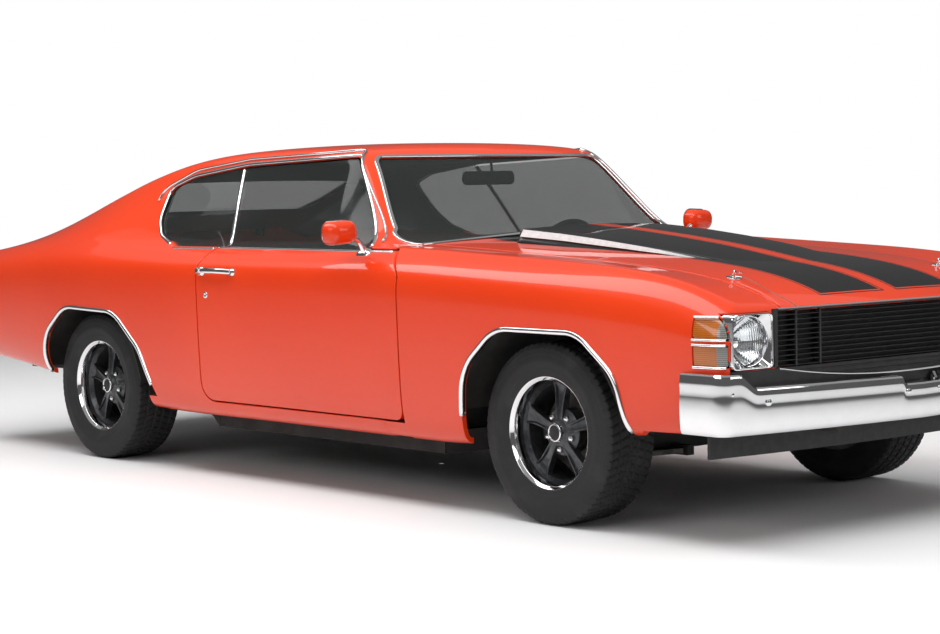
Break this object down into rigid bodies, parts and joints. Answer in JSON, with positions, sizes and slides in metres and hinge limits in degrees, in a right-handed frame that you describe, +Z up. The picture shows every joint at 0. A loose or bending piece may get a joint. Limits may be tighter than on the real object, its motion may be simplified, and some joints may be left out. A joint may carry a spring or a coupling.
{
  "type": "two-door muscle car",
  "caption": "Two-door hardtop muscle car with long striped hood, sloping roof, hinged doors, hood and trunk lid, steered front wheels and rolling wheels.",
  "frame": {"origin": "on the floor under the middle of the car's length and width", "axes": "+X to the nose, +Y to the car's left, +Z up"},
  "size_m": [5.017, 2.09, 1.345],
  "materials": {
    "body_paint": "gloss orange-red",
    "underbody_paint": "satin black",
    "chrome_trim": "polished",
    "window_glass": "clear, faint tint",
    "lamp_glass": "clear lens",
    "tail_lens": "red lens",
    "black_grille": "semi-gloss",
    "tyre_rubber": "matt",
    "wheel_metal": "gunmetal with bright ring",
    "cast_steel": "as cast",
    "engine_metal": "painted",
    "exhaust_steel": "dull",
    "tank_steel": "galvanised",
    "black_vinyl": "grained vinyl",
    "black_plastic": "grained"
  },
  "bodies": {
    "body": {"body_shell": "body_paint", "dashboard": "black_plastic", "drive_shaft": "cast_steel", "engine": "engine_metal", "exhaust": "exhaust_steel", "frame": "underbody_paint", "front_bumper": "chrome_trim", "front_fenders": "body_paint", "front_lamps": "lamp_glass", "front_seats": "black_vinyl", "front_valance": "body_paint", "fuel_tank": "tank_steel", "grille": "black_grille", "inner_fenders": "underbody_paint", "nose_panel": "body_paint", "quarter_windows": "window_glass", "radiator": "underbody_paint", "rear_axle": "cast_steel", "rear_bumper": "chrome_trim", "rear_seat": "black_vinyl", "rear_window": "window_glass", "suspension": "cast_steel", "tail_lamps": "tail_lens", "underbody": "underbody_paint", "windshield": "window_glass"},
    "door_left": {"door_left": "body_paint", "door_window_left": "window_glass", "mirror_left": "chrome_trim"},
    "door_right": {"door_right": "body_paint", "door_window_right": "window_glass", "mirror_right": "chrome_trim"},
    "hood": {"hood": "body_paint"},
    "trunk_lid": {"trunk_lid": "body_paint"},
    "knuckle_left": {"knuckle_left": "cast_steel"},
    "knuckle_right": {"knuckle_right": "cast_steel"},
    "steering_wheel": {"steering_wheel": "black_plastic"},
    "wheel_front_left": {"tyre_front_left": "tyre_rubber", "wheel_front_left": "wheel_metal"},
    "wheel_front_right": {"tyre_front_right": "tyre_rubber", "wheel_front_right": "wheel_metal"},
    "wheel_rear_left": {"tyre_rear_left": "tyre_rubber", "wheel_rear_left": "wheel_metal"},
    "wheel_rear_right": {"tyre_rear_right": "tyre_rubber", "wheel_rear_right": "wheel_metal"}
  },
  "joints": [
    {"name": "door_left_hinge", "type": "hinge", "parent": "body", "child": "door_left", "pos_m": [0.7735, 0.922, 0.68], "axis": [0, 0, -1], "range_deg": [0, 65]},
    {"name": "door_right_hinge", "type": "hinge", "parent": "body", "child": "door_right", "pos_m": [0.7735, -0.922, 0.68], "axis": [0, 0, 1], "range_deg": [0, 65]},
    {"name": "hood_hinge", "type": "hinge", "parent": "body", "child": "hood", "pos_m": [0.769, 0, 0.94041], "axis": [0, -1, 0], "range_deg": [0, 50]},
    {"name": "trunk_hinge", "type": "hinge", "parent": "body", "child": "trunk_lid", "pos_m": [-1.927, 0, 0.96311], "axis": [0, 1, 0], "range_deg": [0, 70]},
    {"name": "steer_left", "type": "hinge", "parent": "body", "child": "knuckle_left", "pos_m": [1.5685, 0.662, 0.318], "axis": [0, -0.1392, 0.9903], "range_deg": [-33, 33]},
    {"name": "steer_right", "type": "hinge", "parent": "body", "child": "knuckle_right", "pos_m": [1.5685, -0.662, 0.318], "axis": [0, 0.1392, 0.9903], "range_deg": [-33, 33]},
    {"name": "steering_wheel_turn", "type": "hinge", "parent": "body", "child": "steering_wheel", "pos_m": [0.402, 0.37, 0.82], "axis": [-0.9483, 0, 0.3173], "range_deg": [-530, 530]},
    {"name": "spin_front_left", "type": "hinge", "parent": "knuckle_left", "child": "wheel_front_left", "pos_m": [1.5685, 0.762, 0.318], "axis": [0, 1, 0], "continuous": true},
    {"name": "spin_front_right", "type": "hinge", "parent": "knuckle_right", "child": "wheel_front_right", "pos_m": [1.5685, -0.762, 0.318], "axis": [0, 1, 0], "continuous": true},
    {"name": "spin_rear_left", "type": "hinge", "parent": "body", "child": "wheel_rear_left", "pos_m": [-1.2765, 0.7595, 0.318], "axis": [0, 1, 0], "continuous": true},
    {"name": "spin_rear_right", "type": "hinge", "parent": "body", "child": "wheel_rear_right", "pos_m": [-1.2765, -0.7595, 0.318], "axis": [0, 1, 0], "continuous": true}
  ],
  "couplings": [
    {"joint": "steer_left", "follows": "steer_right", "ratio": 1},
    {"joint": "steering_wheel_turn", "follows": "steer_right", "ratio": 16}
  ]
}
